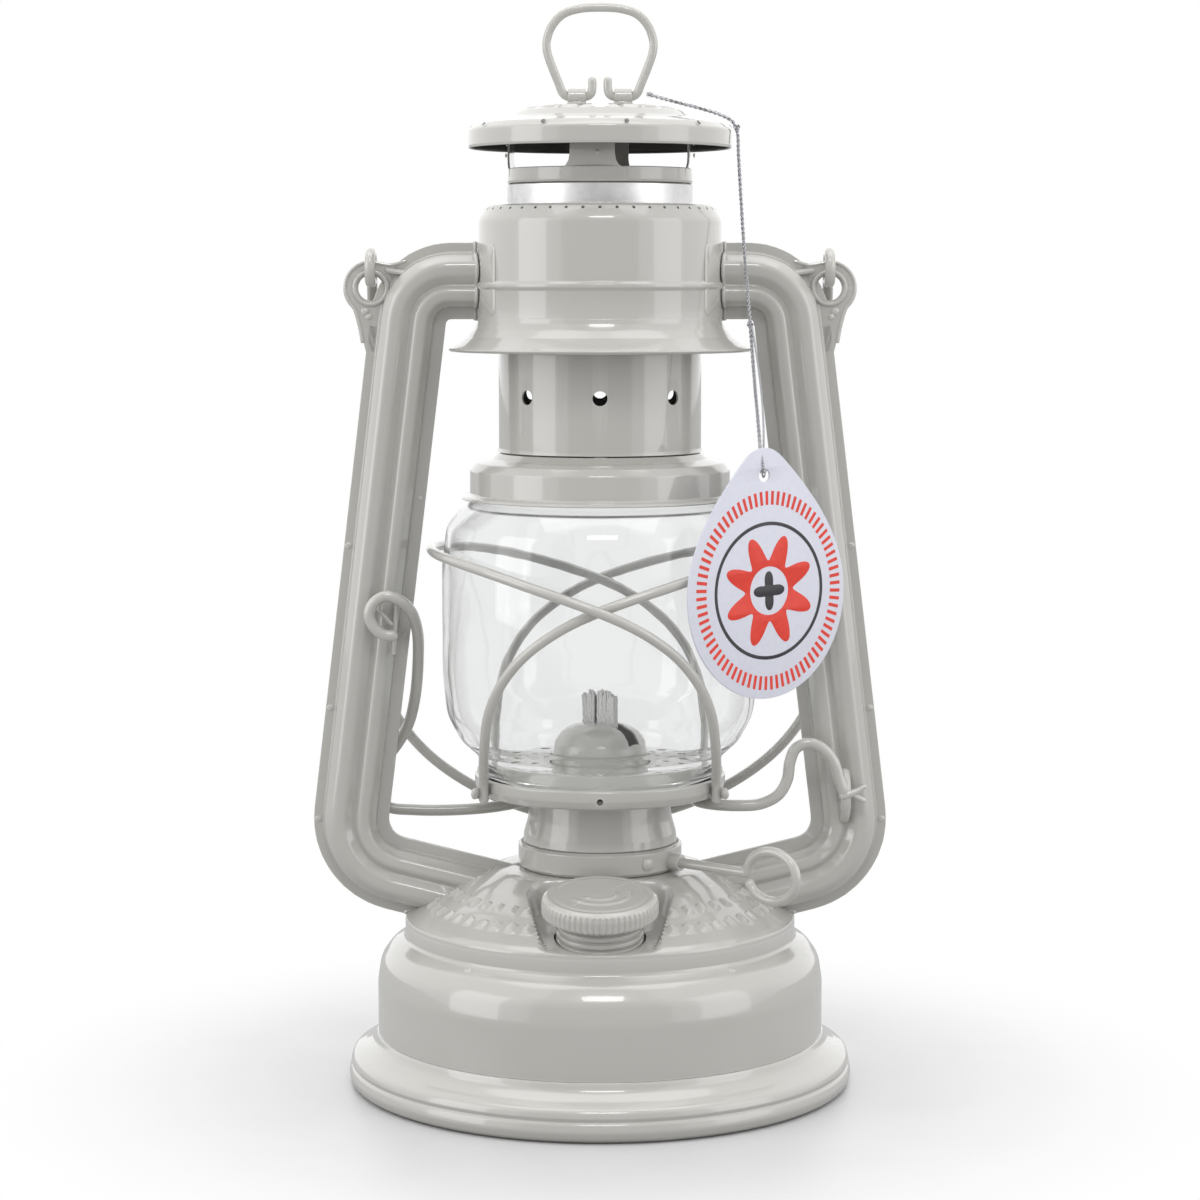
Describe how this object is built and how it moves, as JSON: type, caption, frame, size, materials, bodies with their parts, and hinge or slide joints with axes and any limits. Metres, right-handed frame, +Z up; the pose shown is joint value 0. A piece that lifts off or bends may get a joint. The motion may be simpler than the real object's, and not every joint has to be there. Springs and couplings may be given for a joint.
{
  "type": "oil lamp",
  "caption": "Painted steel hurricane lantern with a clear glass globe in a wire guard, hollow side tubes, wick burner, ventilated hood, carrying bail and lift lever.",
  "frame": {"origin": "centre of the base on the surface that it stands on", "axes": "+Z up through the hood; -Y towards the filler cap; +X towards the pivot of the lift lever"},
  "size_m": [0.1512, 0.1334, 0.2824],
  "materials": {
    "grey_paint": "glossy warm light grey enamel on pressed steel",
    "bare_steel": "bright tinned steel",
    "zinc_steel": "galvanised steel with spangle",
    "brass": "plain",
    "clear_glass": "clear blown glass",
    "cotton_wick": "woven flat cotton",
    "seal_rubber": "matt black",
    "tag_card": "coated card with a printed ring and star",
    "silver_thread": "twisted metallic thread"
  },
  "bodies": {
    "frame": {"base_ring": "grey_paint", "tank_wall": "grey_paint", "tank_bottom": "grey_paint", "tank_dome": "grey_paint", "tank_lid": "bare_steel", "filler_neck": "grey_paint", "right_tube_front": "grey_paint", "right_tube_back": "grey_paint", "left_tube_front": "grey_paint", "left_tube_back": "grey_paint", "air_chamber": "grey_paint", "chamber_skirt": "grey_paint", "burner_base": "grey_paint", "burner_collar": "grey_paint", "wick_tube": "brass", "flame_dome": "grey_paint"},
    "wick_strip": {"wick": "cotton_wick"},
    "wick_raiser": {"wick_knob": "grey_paint", "wick_wheel": "brass"},
    "seal_body": {"filler_seal": "seal_rubber"},
    "cap_body": {"filler_cap": "grey_paint"},
    "globe_carriage": {"globe_plate": "grey_paint", "globe": "clear_glass", "right_guard_wire": "grey_paint", "left_guard_wire": "grey_paint"},
    "chimney": {"globe_cap": "grey_paint", "chimney_tube": "grey_paint", "inner_tube": "zinc_steel", "hood_spider": "grey_paint", "hood": "grey_paint", "right_ring_eyelet": "grey_paint", "left_ring_eyelet": "grey_paint", "tag_string": "silver_thread"},
    "ring_body": {"lifting_ring": "grey_paint"},
    "bail_body": {"bail": "grey_paint"},
    "lever_body": {"lift_lever": "grey_paint"},
    "tag_body": {"hang_tag": "tag_card"}
  },
  "joints": [
    {"name": "globe_lift", "type": "slide", "parent": "frame", "child": "globe_carriage", "axis": [0, 0, 1], "range_m": [0, 0.009]},
    {"name": "chimney_lift", "type": "slide", "parent": "globe_carriage", "child": "chimney", "axis": [0, 0, 1], "range_m": [0, 0.018]},
    {"name": "lever_turn", "type": "hinge", "parent": "frame", "child": "lever_body", "pos_m": [0.0639, -0.0086, 0.0771], "axis": [0, 1, 0], "range_deg": [0, 5.4]},
    {"name": "wick_knob_turn", "type": "hinge", "parent": "frame", "child": "wick_raiser", "pos_m": [0.00229, 0.00278, 0.0602], "axis": [0.7716, -0.6361, 0], "range_deg": [-91, 271]},
    {"name": "wick_slide", "type": "slide", "parent": "frame", "child": "wick_strip", "axis": [0, 0, 1], "range_m": [-0.01037, 0.00345]},
    {"name": "cap_rise", "type": "slide", "parent": "frame", "child": "seal_body", "axis": [0, -0.165, 0.9863], "range_m": [0, 0.0051]},
    {"name": "cap_turn", "type": "hinge", "parent": "seal_body", "child": "cap_body", "pos_m": [0, -0.0386, 0.043], "axis": [0, -0.165, 0.9863], "range_deg": [0, 900]},
    {"name": "ring_fold", "type": "hinge", "parent": "chimney", "child": "ring_body", "pos_m": [0, 0, 0.2587], "axis": [1, 0, 0], "range_deg": [-75, 75]},
    {"name": "bail_swing", "type": "hinge", "parent": "frame", "child": "bail_body", "pos_m": [0, 0, 0.2147], "axis": [1, 0, 0], "range_deg": [0, 260]},
    {"name": "tag_swing", "type": "hinge", "parent": "chimney", "child": "tag_body", "pos_m": [0.0414, -0.0277, 0.1624], "axis": [-0.809, -0.5878, 0], "range_deg": [0, 60], "deforming": ["tag_string"]}
  ],
  "couplings": [
    {"joint": "lever_turn", "follows": "globe_lift", "rad_per_m": 10.32},
    {"joint": "wick_knob_turn", "follows": "wick_slide", "rad_per_m": -454.55},
    {"joint": "cap_rise", "follows": "cap_turn", "m_per_rad": 0.0003183}
  ]
}
